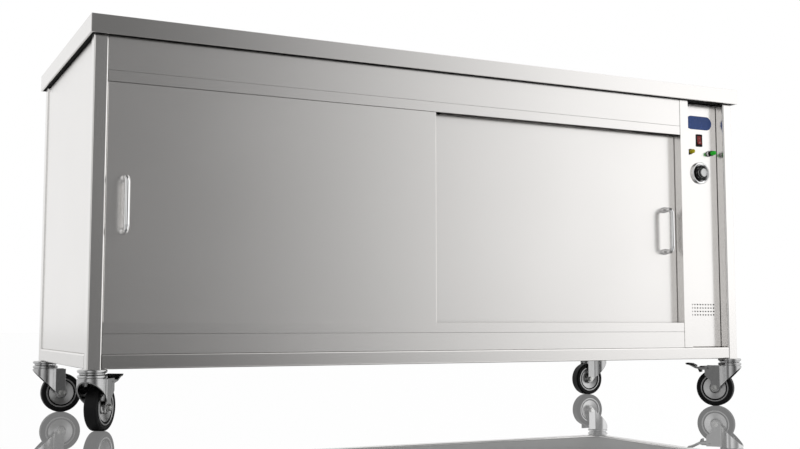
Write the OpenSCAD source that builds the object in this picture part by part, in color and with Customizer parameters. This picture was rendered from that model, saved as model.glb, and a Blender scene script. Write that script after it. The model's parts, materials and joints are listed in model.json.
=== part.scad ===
// Mobile heated cupboard with a plain worktop, two sliding doors and a control bay.
// Origin: centre of the overall box on the floor. X runs to the right, Y to the back, Z up.

/* [Worktop] */
// Width of the worktop
worktop_w = 1800; // [1500:10:2000]
// Depth of the worktop
worktop_d = 690; // [640:5:760]
// Height of the working surface above the floor
worktop_h = 889; // [860:1:930]
// Height of the worktop's folded edge
edge_h = 41; // [34:1:50]
// Overhang past the frame at each side
over_side = 10; // [4:1:20]
// Overhang past the frame at the front
over_front = 15; // [8:1:20]
// Overhang past the frame at the back
over_back = 23; // [22:1:40]

/* [Frame] */
// Side of the square tube
tube_w = 31.75; // [30:0.25:34]
// Wall of the square tube
tube_wall = 1.5; // [1.2:0.1:2]
// Outer corner radius of the square tube
tube_r = 4; // [3:0.5:5]
// Height of the frame's underside above the floor
castor_h = 132; // [130:1:134]
// Thickness of the folded sheet
sheet_t = 1.2; // [1:0.1:1.5]

/* [Front] */
// Height of the header fascia
fascia_h = 75.5; // [72:0.5:84]
// Height of the front lip of each door track
lip_h = 24; // [20:1:28]
// Height of the apron between bottom rail and lower track
apron_h = 43; // [38:1:50]
// Width of the stile between the doors and the control bay
stile_w = 28; // [24:1:34]
// Clear width of the control bay
bay_w = 126; // [118:1:140]
// Set-back of the control panel behind the posts
panel_set = 29; // [24:1:36]

/* [Doors] */
// Width of one door
door_w = 800; // [790:1:820]
// Thickness of one door
door_t = 20; // [18:0.5:20]
// Front door's face behind the posts
door_set = 4; // [3.5:0.1:4.5]
// Overall height of a door handle
handle_h = 127; // [100:1:160]
// Reach of a door handle from the door's face
handle_reach = 38; // [32:1:42]
// Diameter of the handle bar
handle_d = 12; // [10:0.5:14]
// Handle's centre line from the door's outer edge
handle_inset = 39; // [34:1:50]
// Height of the handle's middle above the floor
handle_z = 482; // [420:1:540]
// Diameter of a door roller
roller_d = 24; // [22:1:24]

/* [Controls] */
// Height of the badge's centre
badge_z = 793; // [785:1:800]
// Height of the rocker switch's centre
switch_z = 743; // [735:1:750]
// Height of the two indicator lamps
lamp_z = 708; // [700:1:715]
// Sideways offset of each lamp from the bay's centre
lamp_x = 38; // [32:1:42]
// Height of the thermostat's centre
dial_z = 650; // [620:1:660]
// Height of the vent holes' centre
vent_z = 267; // [240:1:300]
// Distance between vent holes
vent_pitch = 9.5; // [9:0.5:10]
// Diameter of a vent hole
vent_d = 4.5; // [4:0.5:5]

/* [Castors] */
// Wheel diameter
wheel_d = 100; // [98:1:102]
// Width of the tyre
tyre_w = 30; // [28:1:32]
// Distance from the swivel axis back to the wheel's axle
trail = 40; // [38:1:42]
// Outer diameter of the swivel head
head_d = 63; // [62:1:64]
// Diameter of the axle bolt
axle_d = 8; // [6:1:8]

/* [Hidden] */
$fn = 48;

steel = [0.78, 0.78, 0.77];
dark_steel = [0.55, 0.55, 0.55];
black = [0.08, 0.08, 0.08];

// Places along Y, from the overall box outwards in
total_d = worktop_d + handle_reach - door_set - over_front;
top_back = total_d / 2;
top_front = top_back - worktop_d;
face_y = top_front + over_front;
rear_y = top_back - over_back;

// Places along X
frame_x = worktop_w / 2 - over_side;
inner_x = frame_x - tube_w;
bay_x = inner_x - bay_w;
stile_x = bay_x - stile_w;
bay_mid = (bay_x + inner_x) / 2;

// Heights
frame_top = worktop_h - edge_h;
rail_top = castor_h + tube_w;
fascia_z = frame_top - fascia_h;
door_slot_top = fascia_z - lip_h;
lower_z = rail_top + apron_h;
door_slot_low = lower_z + lip_h;
door_top = door_slot_top + 11;
door_low = door_slot_low - 15;

// Depth plan of the tracks, measured behind the posts' faces
skin_set = 1.2;
track_t = 1.5;
door_gap = 3;
rear_set = door_set + door_t + door_gap;
track_back = rear_set + door_t + 7;
ledge_z = fascia_z + 1.5;
hanger_t = 2;
roller_w = 6;
roller_gap = 0.3;
roller_z = ledge_z + track_t + roller_gap + roller_d / 2;
front_roller_y = 5.5;
rear_roller_y = track_back - track_t - 4.5 - roller_w;
pin_clear = 0.05;
roller_pin_d = 5;

// Castor places: x, y and the direction in which the wheel trails
castor_x = frame_x - tube_w / 2;
castor_front = face_y + tube_w / 2;
castor_rear = rear_y - tube_w / 2;
castors = [
    [-castor_x, castor_front, 54],
    [castor_x, castor_front, 128],
    [-castor_x, castor_rear, -2],
    [castor_x, castor_rear, 181]
];
wheel_r = wheel_d / 2;
leg_in = tyre_w / 2 + 4;
leg_t = 2.5;
leg_out = leg_in + leg_t;
kingpin_d = 12;
crown_low = castor_h - 24;
crown_top = castor_h - 11.6;
head_low = castor_h - 11;
pedal_u = 56;
pedal_z = castor_h - 28;
pedal_pin_d = 6;

// ---- shared shapes ----

// A box given by two opposite corners
module block(a, b) {
    translate(a) cube(b - a);
}

// A square with rounded corners, from exact circles
module rounded_square(w, h, r) {
    translate([r, 0]) square([w - 2 * r, h]);
    translate([0, r]) square([w, h - 2 * r]);
    for (x = [r, w - r], y = [r, h - r]) translate([x, y]) circle(r);
}

// Cross-section of the frame tube, with its outer corner at the origin
module tube_section() {
    difference() {
        rounded_square(tube_w, tube_w, tube_r);
        translate([tube_wall, tube_wall])
            rounded_square(tube_w - 2 * tube_wall, tube_w - 2 * tube_wall, tube_r - tube_wall);
    }
}

// Lays a depth-height profile, drawn behind the posts' faces, along X
module along_x(x0, x1) {
    translate([x0, face_y, 0]) rotate([90, 0, 90]) linear_extrude(x1 - x0) children();
}

// Turns what is drawn along +Z so that it points out of the front
module facing_front(x, y, z) {
    translate([x, y, z]) rotate([90, 0, 0]) children();
}

// A cylinder along +Z from low to high
module rod(d, low, high) {
    translate([0, 0, low]) cylinder(d = d, h = high - low);
}

// ---- frame ----

module post(x, y) {
    color(steel) translate([x, y, castor_h])
        linear_extrude(frame_top - castor_h) tube_section();
}

module cross_rail(y) {
    color(steel) translate([-inner_x, y, castor_h]) rotate([90, 0, 90])
        linear_extrude(2 * inner_x) tube_section();
}

module side_rail(x) {
    color(steel) translate([x, rear_y - tube_w, castor_h]) rotate([90, 0, 0])
        linear_extrude(rear_y - face_y - 2 * tube_w) tube_section();
}

module post_front_left() post(-frame_x, face_y);
module post_front_right() post(inner_x, face_y);
module post_rear_left() post(-frame_x, rear_y - tube_w);
module post_rear_right() post(inner_x, rear_y - tube_w);
module rail_front() cross_rail(face_y);
module rail_rear() cross_rail(rear_y - tube_w);
module rail_left() side_rail(-frame_x);
module rail_right() side_rail(inner_x);

// Folded channel that closes the door opening and frames the control bay
module control_stile() {
    color(steel) translate([0, face_y, rail_top]) linear_extrude(frame_top - rail_top) {
        translate([stile_x, 0]) square([stile_w, track_t]);
        translate([stile_x, 0]) square([track_t, track_back]);
        translate([bay_x - track_t, 0]) square([track_t, panel_set]);
    }
}

// ---- worktop ----

// Top sheet with its four edges folded down and returned inwards
module worktop() {
    half = worktop_w / 2;
    lip = 12;
    color(steel) difference() {
        block([-half, top_front, frame_top], [half, top_back, worktop_h]);
        block([-half + track_t, top_front + track_t, frame_top + track_t],
              [half - track_t, top_back - track_t, worktop_h - track_t]);
        block([-half + lip, top_front + lip, frame_top - 1],
              [half - lip, top_back - lip, frame_top + track_t + 1]);
    }
}

// Board bonded under the top sheet
module worktop_core() {
    half = worktop_w / 2 - track_t - 1;
    color([0.72, 0.6, 0.42])
        block([-half, top_front + track_t + 1, frame_top + track_t],
              [half, top_back - track_t - 1, worktop_h - track_t]);
}

// ---- panels ----

// Side sheet with its four edges folded inwards; side is -1 for left and 1 for right.
// The left one carries a ledge for the shelf
module side_panel(side) {
    low_y = face_y + tube_w + 0.5;
    high_y = rear_y - tube_w - 0.5;
    high_z = frame_top - 3;
    set = 3;
    flange = 18;
    color(steel) translate([side < 0 ? -frame_x + set : frame_x - set, 0, 0]) mirror([side < 0 ? 0 : 1, 0, 0])
        difference() {
            block([0, low_y, rail_top], [flange, high_y, high_z]);
            block([sheet_t, low_y + sheet_t, rail_top + sheet_t],
                  [flange + 1, high_y - sheet_t, high_z - sheet_t]);
        }
}

module side_panel_left() {
    side_panel(-1);
    shelf_ledge(-frame_x + 3.5, -frame_x + 20, -frame_x + 5.5);
}

module side_panel_right() side_panel(1);

// Back sheet between the rear posts, with a hole for the cable gland
module back_panel() {
    back = rear_y - 2;
    flange = 18;
    high_z = frame_top - 0.5;
    color(steel) difference() {
        block([-inner_x + 0.5, back - flange, rail_top], [inner_x - 0.5, back, high_z]);
        block([-inner_x + 0.5 + sheet_t, back - flange - 1, rail_top + sheet_t],
              [inner_x - 0.5 - sheet_t, back - sheet_t, high_z - sheet_t]);
        translate([bay_mid, back, gland_z]) rotate([90, 0, 0])
            translate([0, 0, -1]) cylinder(d = gland_thread_d, h = sheet_t + 2);
    }
}

// Tray that closes the underside between the bottom rails
module base_pan() {
    low = castor_h + 6;
    lift = 16;
    far = inner_x - 0.2;
    color(steel) difference() {
        block([-far, face_y + tube_w + 0.2, low], [far, rear_y - tube_w - 0.2, low + lift]);
        block([-far + sheet_t, face_y + tube_w + 0.2 + sheet_t, low + sheet_t],
              [far - sheet_t, rear_y - tube_w - 0.2 - sheet_t, low + lift + 1]);
    }
}

// Fascia: a front web with flanges turned back at top and bottom
module header_fascia() {
    color(steel) along_x(-inner_x + 0.2, stile_x) {
        translate([skin_set, fascia_z + 0.6]) square([sheet_t, fascia_h - 0.6]);
        translate([skin_set, frame_top - sheet_t]) square([30, sheet_t]);
    }
}

// Upper track: front lip, joggle behind the fascia, roof, rear web and two roller ledges
module upper_track() {
    web = skin_set + sheet_t + 0.6;
    roof = frame_top - 30;
    color(steel) along_x(-inner_x + 0.2, stile_x) {
        translate([skin_set, door_slot_top]) square([track_t, lip_h]);
        translate([skin_set, fascia_z - track_t]) square([web - skin_set + track_t, track_t]);
        translate([web, fascia_z - track_t]) square([track_t, roof - fascia_z + 2 * track_t]);
        translate([web, roof]) square([track_back - web, track_t]);
        translate([track_back - track_t, door_slot_top + 6])
            square([track_t, roof - door_slot_top - 6 + track_t]);
        translate([web, ledge_z]) square([front_roller_y + roller_w - web, track_t]);
        translate([rear_roller_y, ledge_z]) square([track_back - rear_roller_y, track_t]);
    }
}

// Lower track: front lip, floor, centre guide rib and rear lip
module lower_track() {
    rib_y = door_set + door_t + door_gap / 2 - 0.6;
    color(steel) along_x(-inner_x + 0.2, stile_x) {
        translate([skin_set, lower_z]) square([track_t, lip_h]);
        translate([skin_set, lower_z]) square([track_back - skin_set, track_t]);
        translate([rib_y, lower_z]) square([1.2, lip_h - 6]);
        translate([track_back - track_t, lower_z]) square([track_t, lip_h - 6]);
    }
}

// Apron under the lower track, with flanges turned back at top and bottom
module lower_apron() {
    color(steel) along_x(-inner_x + 0.2, stile_x) {
        translate([skin_set, rail_top]) square([sheet_t, apron_h - 0.6]);
        translate([skin_set, rail_top]) square([26, sheet_t]);
        translate([skin_set, lower_z - 0.6 - sheet_t]) square([26, sheet_t]);
    }
}

// ---- cupboard interior ----

panel_in = 4.5 + sheet_t;
interior_x = -frame_x + panel_in;
interior_front = face_y + track_back;
interior_back = rear_y - 2 - sheet_t;

// Floor of the heated compartment, with a stiffening fold along its front
module floor_panel() {
    fold = 30;
    front = interior_front + 0.5;
    back = rear_y - tube_w - 2;
    color(steel) difference() {
        block([interior_x, front, lower_z - fold], [stile_x - 0.5, back, lower_z + sheet_t]);
        block([interior_x - 1, front + sheet_t, lower_z - fold - 1], [stile_x, back - sheet_t, lower_z]);
    }
}

// Wall between the heated compartment and the control bay, with the shelf's right-hand ledge
module bay_divider() {
    flange = 20;
    shelf_ledge(stile_x + 0.5, stile_x - 15, stile_x - sheet_t);
    color(steel) difference() {
        union() {
            block([stile_x, interior_front + 0.2, rail_top + 0.5],
                  [stile_x + sheet_t, interior_back - 19, frame_top - 0.5]);
            block([stile_x, interior_front + 0.2, frame_top - 0.5 - sheet_t],
                  [stile_x + flange, interior_back - 19, frame_top - 0.5]);
        }
        for (y = [element_y, element_y + element_runs * 2 * element_bend - 2 * element_bend])
            translate([stile_x - 1, y, element_z]) rotate([0, 90, 0])
                cylinder(d = element_d + 2, h = sheet_t + 2);
    }
}

shelf_z = 480;
shelf_fold = 25;

// Removable middle shelf: a sheet with its four edges folded down
module shelf() {
    low = [interior_x + 0.5, interior_front + 30, shelf_z - shelf_fold];
    high = [stile_x - 1, rear_y - tube_w - 2, shelf_z];
    color(steel) difference() {
        block(low, high);
        block([low.x + sheet_t, low.y + sheet_t, low.z - 1],
              [high.x - sheet_t, high.y - sheet_t, high.z - sheet_t]);
    }
}

// Angle that carries one end of the shelf: wall is its welded face, reach its free edge
module shelf_ledge(wall, reach, leg) {
    top = shelf_z - shelf_fold - 0.1;
    front = interior_front + 40;
    back = rear_y - tube_w - 40;
    color(steel) {
        block([min(wall, reach), front, top - sheet_t], [max(wall, reach), back, top]);
        block([min(wall, leg), front, top - 15], [max(wall, leg), back, top - 0.5]);
    }
}

element_d = 8;
element_bend = 35;
element_runs = 6;
element_z = castor_h + 48;
element_y = face_y + 130;
element_far = -760;

// Tubular heater laid in hairpins under the floor, with both ends through the divider
module heating_element() {
    pitch = 2 * element_bend;
    near = stile_x - 60;
    last = element_runs - 1;
    color(dark_steel) {
        for (i = [0 : last]) {
            out = (i == 0 || i == last) ? stile_x + 40 : near;
            translate([element_far, element_y + i * pitch, element_z]) rotate([0, 90, 0])
                cylinder(d = element_d, h = out - element_far);
        }
        for (i = [0 : last - 1]) {
            far_end = i % 2 == 0;
            translate([far_end ? element_far : near, element_y + i * pitch + element_bend, element_z])
                rotate(far_end ? 90 : -90)
                    rotate_extrude(angle = 180) translate([element_bend, 0]) circle(d = element_d, $fn = 24);
        }
        for (y = [element_y, element_y + last * pitch])
            translate([stile_x + sheet_t, y, element_z]) rotate([0, 90, 0]) cylinder(d = 20, h = 6);
    }
}

gland_z = 300;
gland_thread_d = 20;

// Cable gland on the back of the control bay: threaded body, flange nut and dome nut
module cable_gland() {
    back = rear_y - 2;
    color(black) translate([bay_mid, back, gland_z]) rotate([-90, 0, 0]) difference() {
        union() {
            rod(gland_thread_d - 0.2, -12, 1);
            translate([0, 0, 0.02]) cylinder(d = 29, h = 6, $fn = 6);
            rod(24, 6, 14);
            rotate_extrude() translate([9, 14]) circle(d = 5);
            translate([0, 0, -sheet_t - 6.02]) cylinder(d = 28, h = 6, $fn = 6);
        }
        rod(10, -20, 30);
    }
}

// ---- control bay ----

panel_y = face_y + panel_set;

// Control panel: recessed front sheet with folded sides and all its cut-outs
module control_panel() {
    gap = 0.3;
    fold = 15;
    color(steel) difference() {
        block([bay_x + gap, panel_y, rail_top + gap], [inner_x - gap, panel_y + fold, frame_top - gap]);
        block([bay_x + gap + sheet_t, panel_y + sheet_t, rail_top + gap - 1],
              [inner_x - gap - sheet_t, panel_y + fold + 1, frame_top + 1]);
        block([bay_mid - 9.5, panel_y - 1, switch_z - 15.5], [bay_mid + 9.5, panel_y + 3, switch_z + 15.5]);
        for (x = [-lamp_x, lamp_x]) panel_hole(bay_mid + x, lamp_z, 12);
        panel_hole(bay_mid, dial_z, 10.2);
        for (i = [-4 : 4], k = [-1.5 : 1.5])
            panel_hole(bay_mid + i * vent_pitch, vent_z + k * vent_pitch, vent_d);
    }
}

module panel_hole(x, z, d) {
    translate([x, panel_y + 3, z]) rotate([90, 0, 0]) cylinder(d = d, h = 5);
}

// Blank name badge with full-round ends
module badge() {
    h = 38;
    w = 91;
    color([0.18, 0.31, 0.53]) facing_front(bay_mid, panel_y, badge_z) linear_extrude(1.2) {
        square([w - h, h], center = true);
        for (x = [-1, 1]) translate([x * (w - h) / 2, 0]) circle(d = h);
    }
}

rocker_back = 2;
rocker_pin_d = 3;
rocker_tilt = 8;

// Switch housing: front bezel and body, open at the front, with two pivot bores
module switch_housing() {
    color(black) difference() {
        union() {
            block([bay_mid - 10.5, panel_y - 2, switch_z - 17.5], [bay_mid + 10.5, panel_y, switch_z + 17.5]);
            block([bay_mid - 9.3, panel_y, switch_z - 15.3], [bay_mid + 9.3, panel_y + 22, switch_z + 15.3]);
        }
        block([bay_mid - 7.5, panel_y - 3, switch_z - 13.6], [bay_mid + 7.5, panel_y + 12, switch_z + 13.6]);
        translate([bay_mid - 9, panel_y + rocker_back, switch_z]) rotate([0, 90, 0])
            cylinder(d = rocker_pin_d + 2 * pin_clear, h = 18);
    }
}

// Switch rocker: shallow V front, with a trunnion at each side
module switch_rocker() {
    color([0.6, 0.06, 0.05]) translate([bay_mid, panel_y + rocker_back, switch_z])
        rotate([-rocker_tilt, 0, 0]) {
            rotate([90, 0, 90]) translate([0, 0, -7.2]) linear_extrude(14.4)
                polygon([[5, -9], [5, 9], [-5.5, 12], [-3.4, 0], [-5.5, -12]]);
            rotate([0, 90, 0]) rod(rocker_pin_d, -8.7, 8.7);
        }
}

// Indicator lamp: body through the panel, black seat ring and domed lens
module lamp(x, tint) {
    facing_front(bay_mid + x, panel_y, lamp_z) {
        color(black) {
            rod(11.8, -26, 0);
            rod(18, 0, 3);
        }
        color(tint) {
            rod(13, 3, 17.5);
            translate([0, 0, 17.5]) intersection() {
                sphere(d = 13);
                rod(14, 0, 8);
            }
        }
    }
}

module lamp_amber() lamp(-lamp_x, [0.75, 0.72, 0.1]);
module lamp_green() lamp(lamp_x, [0.1, 0.6, 0.15]);

spindle_d = 6;

// Thermostat behind the panel, with a threaded neck that carries the knob's spindle
module thermostat_body() {
    color(dark_steel) difference() {
        union() {
            block([bay_mid - 22, panel_y + sheet_t, dial_z - 22], [bay_mid + 22, panel_y + 36, dial_z + 22]);
            facing_front(bay_mid, panel_y, dial_z) rod(10, -sheet_t - 1, 3.4);
        }
        facing_front(bay_mid, panel_y, dial_z) rod(spindle_d + 2 * pin_clear, -24, 5);
    }
}

// Bright ring round the dial
module thermostat_bezel() {
    color([0.85, 0.85, 0.85]) facing_front(bay_mid, panel_y, dial_z) rotate_extrude()
        polygon([[5.3, 0], [31, 0], [31, 1.2], [28, 3.4], [24, 3.4], [22.5, 2], [5.3, 2]]);
}

// Dial with its raised grip, cap and spindle
module thermostat_knob() {
    color(black) facing_front(bay_mid, panel_y, dial_z) {
        rotate_extrude() polygon([[0, 4.2], [21.5, 4.2], [21.5, 6.2], [20, 8], [12.5, 8], [12, 16.5],
                                  [10.5, 18], [0, 18]]);
        rod(spindle_d, -22, 5);
    }
}

// ---- sliding doors ----

// Door pan: front sheet with four folded edges, return lips and two roller hangers
module door(x, set, roller_y, hanger_y) {
    lip = 14;
    y = face_y + set;
    color(steel) {
        difference() {
            block([x, y, door_low], [x + door_w, y + door_t, door_top]);
            block([x + sheet_t, y + sheet_t, door_low + sheet_t],
                  [x + door_w - sheet_t, y + door_t - sheet_t, door_top - sheet_t]);
            block([x + lip, y + door_t / 2, door_low + lip],
                  [x + door_w - lip, y + door_t + 1, door_top - lip]);
        }
        for (r = roller_places(x)) {
            block([r - 20, face_y + hanger_y, door_top - 1],
                  [r + 20, face_y + hanger_y + hanger_t, roller_z + 8]);
            hanger_pin(r, roller_y, hanger_y);
        }
    }
}

// Pin that stands from the hanger and carries one roller
module hanger_pin(x, roller_y, hanger_y) {
    low = min(roller_y, hanger_y);
    high = max(roller_y + roller_w, hanger_y + hanger_t);
    translate([x, face_y + low, roller_z]) rotate([-90, 0, 0]) cylinder(d = roller_pin_d, h = high - low);
}

function roller_places(x) = [x + 90, x + door_w - 90];

left_x = -inner_x + 0.5;
right_x = stile_x - 0.5 - door_w;
front_hanger_y = front_roller_y + roller_w + 1;
rear_hanger_y = rear_roller_y - 1 - hanger_t;

module door_left() door(left_x, door_set, front_roller_y, front_hanger_y);
module door_right() door(right_x, rear_set, rear_roller_y, rear_hanger_y);

// Nylon roller that turns on a hanger pin
module roller(x, y) {
    color([0.9, 0.9, 0.86]) translate([x, face_y + y + 0.2, roller_z]) rotate([-90, 0, 0]) difference() {
        cylinder(d = roller_d, h = roller_w - 0.4);
        translate([0, 0, -1]) cylinder(d = roller_pin_d + 2 * pin_clear, h = roller_w + 2);
    }
}

module roller_left_a() roller(roller_places(left_x)[0], front_roller_y);
module roller_left_b() roller(roller_places(left_x)[1], front_roller_y);
module roller_right_a() roller(roller_places(right_x)[0], rear_roller_y);
module roller_right_b() roller(roller_places(right_x)[1], rear_roller_y);

// D handle of round bar, with its two feet on the door
module handle(x, set) {
    bend = 14;
    reach = handle_reach - handle_d / 2;
    half = (handle_h - handle_d) / 2;
    color([0.85, 0.85, 0.85]) translate([x, face_y + set, handle_z]) {
        translate([0, -reach, 0]) rod(handle_d, bend - half, half - bend);
        for (side = [0, 1]) mirror([0, 0, side]) {
            translate([0, 0, half]) rotate([90, 0, 0]) rod(handle_d, 0, reach - bend);
            translate([0, bend - reach, half - bend]) rotate([0, -90, 0]) rotate([0, 0, -90])
                rotate_extrude(angle = 90) translate([bend, 0]) circle(d = handle_d);
        }
    }
}

module handle_left() handle(left_x + handle_inset, door_set);
module handle_right() handle(right_x + door_w - handle_inset, rear_set);

// ---- castors ----

// Puts a castor, drawn with its swivel axis on Z and trailing along +X, at its corner
module castor_place(i) {
    translate([castors[i].x, castors[i].y, 0]) rotate(castors[i].z) children();
}

// Turns what is drawn along +Z so that it runs along the axle
module across(u, z) {
    translate([u, 0, z]) rotate([90, 0, 0]) children();
}

// Fixed head of each castor: beaded race, kingpin with its end washer, and stem in the post
module castor_heads() {
    bead = (castor_h - head_low) / 2;
    color(dark_steel) for (i = [0 : 3]) castor_place(i) {
        rod(head_d - 2 * bead, head_low, castor_h);
        translate([0, 0, castor_h - bead]) rotate_extrude() translate([head_d / 2 - bead, 0]) circle(bead);
        rod(kingpin_d, crown_low - 6, head_low + 1);
        rod(18, crown_low - 6, crown_low - 0.6);
        rod(22, castor_h - 1, castor_h + 25);
    }
}

// Side outline of the fork: sloping hood edge, leg and rounded axle end
module fork_side(ear) {
    far = trail + 13;
    polygon([
        [-head_d / 2 - 1, crown_low + 1], [trail - 12, wheel_r + 5], [trail, wheel_r], [far, wheel_r],
        [far, crown_low - 32], [far + ear, crown_low - 22], [far + ear, crown_low + 5],
        [-head_d / 2 - 1, crown_low + 5]
    ]);
    translate([trail, wheel_r]) circle(13);
}

// Pressed fork: crown with a bead, hood and two legs
module fork(braked) {
    bead = 4;
    ear = braked ? 12 : 0;
    color(dark_steel) difference() {
        union() {
            intersection() {
                translate([0, head_d, 0]) rotate([90, 0, 0]) linear_extrude(2 * head_d) fork_side(ear);
                translate([0, 0, 30]) linear_extrude(crown_low - 25) difference() {
                    union() {
                        circle(d = head_d);
                        translate([0, -leg_out]) square([trail + 30, 2 * leg_out]);
                    }
                    circle(d = head_d - 2 * leg_t);
                    translate([0, -leg_in]) square([trail + 40, 2 * leg_in]);
                }
            }
            rod(head_d - 2 * bead, crown_low, crown_top);
            translate([0, 0, crown_low + 8]) rotate_extrude() translate([head_d / 2 - bead, 0]) circle(bead);
            rod(head_d, crown_low + 1, crown_low + 5);
        }
        rod(kingpin_d + 2 * pin_clear, crown_low - 5, castor_h);
        across(trail, wheel_r) rod(axle_d, -leg_out - 1, leg_out + 1);
        if (braked) across(pedal_u, pedal_z) rod(pedal_pin_d + 2 * pin_clear, -leg_out - 1, leg_out + 1);
    }
}

// Solid rubber tyre with rounded shoulders
module tyre() {
    shoulder = 5;
    half = tyre_w / 2;
    color(black) across(trail, wheel_r) rotate_extrude($fn = 96) difference() {
        union() {
            translate([wheel_r - 12, -half]) square([12 - shoulder, tyre_w]);
            translate([wheel_r - 12, shoulder - half]) square([12, tyre_w - 2 * shoulder]);
            for (v = [-1, 1]) translate([wheel_r - shoulder, v * (half - shoulder)]) circle(shoulder);
        }
        translate([0, -tyre_w]) square([wheel_r - 12, 2 * tyre_w]);
    }
}

// Wheel centre: rim ring, groove, dished disc and bored boss
module hub() {
    rim = wheel_r - 12;
    half = tyre_w / 2;
    color([0.7, 0.7, 0.7]) across(trail, wheel_r) rotate_extrude($fn = 96) difference() {
        union() {
            translate([rim - 4, -half]) square([4, tyre_w]);
            translate([12, 2 - half]) square([rim - 18, tyre_w - 4]);
            translate([rim - 7, 5 - half]) square([4, tyre_w - 10]);
            translate([0, -leg_in + 0.6]) square([13, 2 * leg_in - 1.2]);
        }
        translate([-1, -leg_in]) square([1 + axle_d / 2 + pin_clear, 2 * leg_in]);
    }
}

// Axle bolt with hexagon head and nut
module axle() {
    color([0.75, 0.75, 0.75]) across(trail, wheel_r) {
        rod(axle_d, -leg_out - 5, leg_out + 5);
        for (v = [-leg_out - 5, leg_out]) translate([0, 0, v]) cylinder(d = 14, h = 5, $fn = 6);
    }
}

// Brake pedal: pivot barrel and pin, lever, raised toe plate and brake pad
module pedal() {
    half = leg_in - 1.5;
    lift = pedal_z + 5;
    color(black) {
        across(pedal_u, pedal_z) {
            rod(pedal_pin_d, -leg_out, leg_out);
            rod(9.4, -half, half);
        }
        across(0, 0) translate([0, 0, -half]) linear_extrude(2 * half)
            polygon([[pedal_u, pedal_z], [pedal_u, lift], [94, lift], [94, lift - 4], [86, lift - 4],
                     [81, pedal_z - 12], [77, pedal_z - 12], [77, pedal_z]]);
        across(0, 0) translate([0, 0, -half]) linear_extrude(2 * half)
            polygon([[92, lift - 4], [104, lift + 4], [118, lift + 6], [118, lift + 9], [102, lift + 8],
                     [90, lift]]);
    }
}

module fork_front_left() castor_place(0) fork(true);
module fork_front_right() castor_place(1) fork(true);
module fork_rear_left() castor_place(2) fork(false);
module fork_rear_right() castor_place(3) fork(false);
module tyre_front_left() castor_place(0) tyre();
module tyre_front_right() castor_place(1) tyre();
module tyre_rear_left() castor_place(2) tyre();
module tyre_rear_right() castor_place(3) tyre();
module hub_front_left() castor_place(0) hub();
module hub_front_right() castor_place(1) hub();
module hub_rear_left() castor_place(2) hub();
module hub_rear_right() castor_place(3) hub();
module axle_front_left() castor_place(0) axle();
module axle_front_right() castor_place(1) axle();
module axle_rear_left() castor_place(2) axle();
module axle_rear_right() castor_place(3) axle();
module pedal_front_left() castor_place(0) pedal();
module pedal_front_right() castor_place(1) pedal();

post_front_left();
post_front_right();
post_rear_left();
post_rear_right();
rail_front();
rail_rear();
rail_left();
rail_right();
control_stile();
worktop();
worktop_core();
side_panel_left();
side_panel_right();
back_panel();
base_pan();
header_fascia();
upper_track();
lower_track();
lower_apron();
floor_panel();
bay_divider();
shelf();
heating_element();
cable_gland();
control_panel();
badge();
switch_housing();
switch_rocker();
lamp_amber();
lamp_green();
thermostat_body();
thermostat_bezel();
thermostat_knob();
door_left();
door_right();
handle_left();
handle_right();
roller_left_a();
roller_left_b();
roller_right_a();
roller_right_b();
castor_heads();
fork_front_left();
fork_front_right();
fork_rear_left();
fork_rear_right();
tyre_front_left();
tyre_front_right();
tyre_rear_left();
tyre_rear_right();
hub_front_left();
hub_front_right();
hub_rear_left();
hub_rear_right();
axle_front_left();
axle_front_right();
axle_rear_left();
axle_rear_right();
pedal_front_left();
pedal_front_right();
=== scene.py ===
# %% [markdown]
# # A mobile hot cupboard in stainless steel
#
# The real object is a heated cupboard on castors: a welded tube frame, folded sheet panels, a
# plain worktop, two sliding doors and a narrow control bay at the right-hand end. The frame
# loaded here already holds every part at its true size and place. What is left is the look:
# softly bent sheet edges, a brushed grain, cast highlights on bright zinc, moulded rubber.
#
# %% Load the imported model
import json
from math import atan2, cos, pi, radians, sin

import bpy
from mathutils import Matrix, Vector


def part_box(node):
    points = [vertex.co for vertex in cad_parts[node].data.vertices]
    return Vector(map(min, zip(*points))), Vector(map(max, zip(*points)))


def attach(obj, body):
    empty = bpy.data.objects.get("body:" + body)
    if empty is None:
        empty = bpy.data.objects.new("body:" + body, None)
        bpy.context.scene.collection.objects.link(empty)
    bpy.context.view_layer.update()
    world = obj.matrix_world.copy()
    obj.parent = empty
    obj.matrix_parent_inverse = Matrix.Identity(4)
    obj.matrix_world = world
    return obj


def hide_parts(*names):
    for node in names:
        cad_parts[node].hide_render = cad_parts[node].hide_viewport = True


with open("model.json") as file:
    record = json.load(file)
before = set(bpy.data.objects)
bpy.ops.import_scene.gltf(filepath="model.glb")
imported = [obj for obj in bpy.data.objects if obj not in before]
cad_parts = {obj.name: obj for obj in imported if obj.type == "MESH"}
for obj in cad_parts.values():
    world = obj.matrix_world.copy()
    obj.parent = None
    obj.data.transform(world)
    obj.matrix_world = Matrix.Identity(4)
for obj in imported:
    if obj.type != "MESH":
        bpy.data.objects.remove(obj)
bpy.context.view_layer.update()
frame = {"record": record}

MM = 0.001
TOUCH = 0.01 * MM  # points closer than this are one point

# %% [markdown]
# ## Camera
#
# A low view from the left front corner, tilted slightly up, shows the whole front and a thin
# slice of the left side. Its place is given from the worktop's front left corner.

# %% Place the camera
worktop_low, worktop_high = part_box("worktop")
CAMERA_OFFSET = Vector((-441.7, -2382.7, 0)) * MM
CAMERA_HEIGHT = 226.2 * MM
CAMERA_YAW = radians(26.24)
CAMERA_TILT = radians(5.11)
CAMERA_LENS = 50.3

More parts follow.
